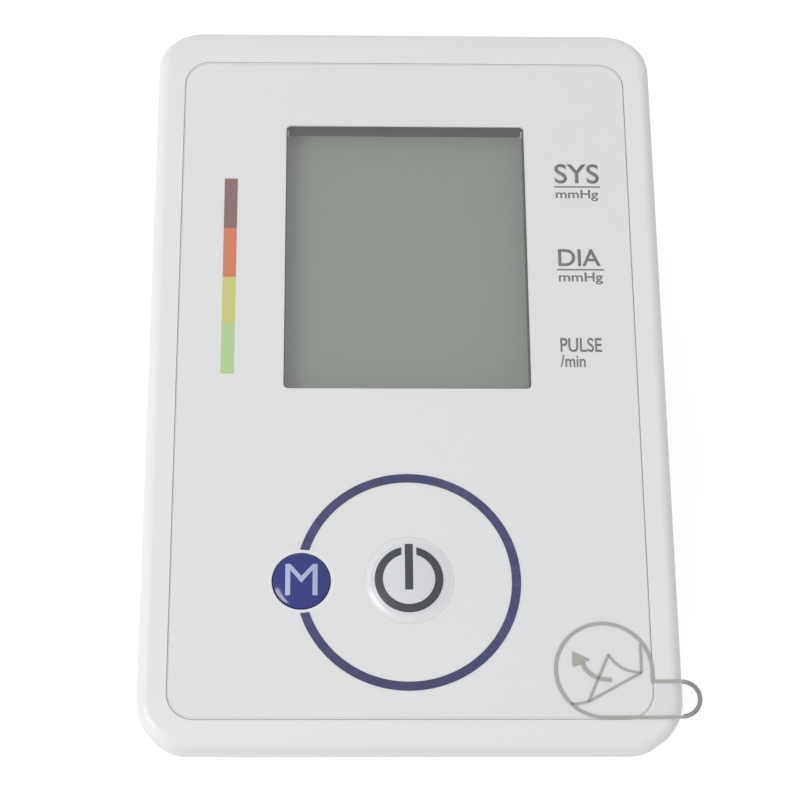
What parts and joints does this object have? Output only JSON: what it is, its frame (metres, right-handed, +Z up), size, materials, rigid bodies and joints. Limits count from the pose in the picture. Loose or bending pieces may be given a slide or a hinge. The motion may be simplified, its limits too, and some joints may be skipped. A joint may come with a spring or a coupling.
{
  "type": "blood pressure monitor",
  "caption": "Tabletop upper arm blood pressure monitor: wedge housing, display window, raised power key, round memory key, pump and valve inside, cell door below.",
  "frame": {"origin": "centre of the bounding box's bottom, on the table plane under the four feet; the housing's own middle plane is at x = -1.55 mm, because the film's pull tab overhangs the right side", "axes": "+Z up from the table, +Y from the keys towards the display end, +X to the right of a person who reads the display; the face leans 5 degrees towards that person"},
  "size_m": [0.1036, 0.15, 0.046],
  "materials": {
    "white_casing": "satin moulded ABS, white",
    "overlay_white": "smooth printed sheet",
    "clear_film": "clear peel-off film",
    "clear_lens": "clear acrylic window",
    "white_key": "smooth white key",
    "blue_key": "glossy deep blue key",
    "switch_black": "moulded",
    "plunger_ivory": "moulded",
    "display_glass": "grey-green display glass",
    "holder_grey": "moulded",
    "zebra_pink": "silicone with carbon lines",
    "board_green": "solder mask",
    "screw_steel": "zinc plated",
    "chip_black": "moulded",
    "capacitor_can": "drawn can",
    "buzzer_black": "moulded",
    "sensor_grey": "moulded",
    "motor_steel": "zinc plated can",
    "pump_black": "moulded",
    "cushion_rubber": "soft rubber",
    "strap_steel": "pressed strip",
    "valve_body": "moulded",
    "fitting_white": "moulded",
    "silicone_tube": "milky silicone",
    "socket_black": "moulded",
    "seal_rubber": "soft rubber",
    "jack_black": "moulded",
    "cell_sleeve": "plain shrink sleeve",
    "contact_nickel": "nickel plated spring strip",
    "foot_rubber": "grey rubber",
    "lead_red": "insulated wire"
  },
  "bodies": {
    "housing": {"front_cover": "white_casing", "rear_cover": "white_casing", "front_overlay": "overlay_white", "protective_film": "clear_film", "display_lens": "clear_lens", "power_switch": "switch_black", "memory_switch": "switch_black", "lcd_panel": "display_glass", "lcd_holder": "holder_grey", "zebra_strips": "zebra_pink", "main_board": "board_green", "board_screws": "screw_steel", "board_chips": "chip_black", "capacitors": "capacitor_can", "buzzer": "buzzer_black", "pressure_sensor": "sensor_grey", "pump_motor": "motor_steel", "pump_head": "pump_black", "pump_cushions": "cushion_rubber", "pump_strap": "strap_steel", "release_valve": "valve_body", "air_manifold": "fitting_white", "air_tubes": "silicone_tube", "air_socket": "socket_black", "socket_seal": "seal_rubber", "dc_jack": "jack_black", "battery_cells": "cell_sleeve", "battery_contacts": "contact_nickel", "case_screws": "screw_steel", "rubber_feet": "foot_rubber", "pump_leads": "lead_red", "battery_leads": "lead_red"},
    "power_button": {"power_button": "white_key", "power_switch_plunger": "plunger_ivory"},
    "memory_button": {"memory_button": "blue_key", "memory_switch_plunger": "plunger_ivory"},
    "battery_door": {"battery_door": "white_casing"}
  },
  "joints": [
    {"name": "power_press", "type": "slide", "parent": "housing", "child": "power_button", "axis": [0, 0.0872, -0.9962], "range_m": [0, 0.0004], "stiffness_N_per_m": 300, "springref_m": -0.002},
    {"name": "memory_press", "type": "slide", "parent": "housing", "child": "memory_button", "axis": [0, 0.0872, -0.9962], "range_m": [0, 0.0004], "stiffness_N_per_m": 300, "springref_m": -0.002},
    {"name": "door_hinge", "type": "hinge", "parent": "housing", "child": "battery_door", "pos_m": [-0.00155, 0.06805, 0.0021], "axis": [1, 0, 0], "range_deg": [0, 70]}
  ]
}
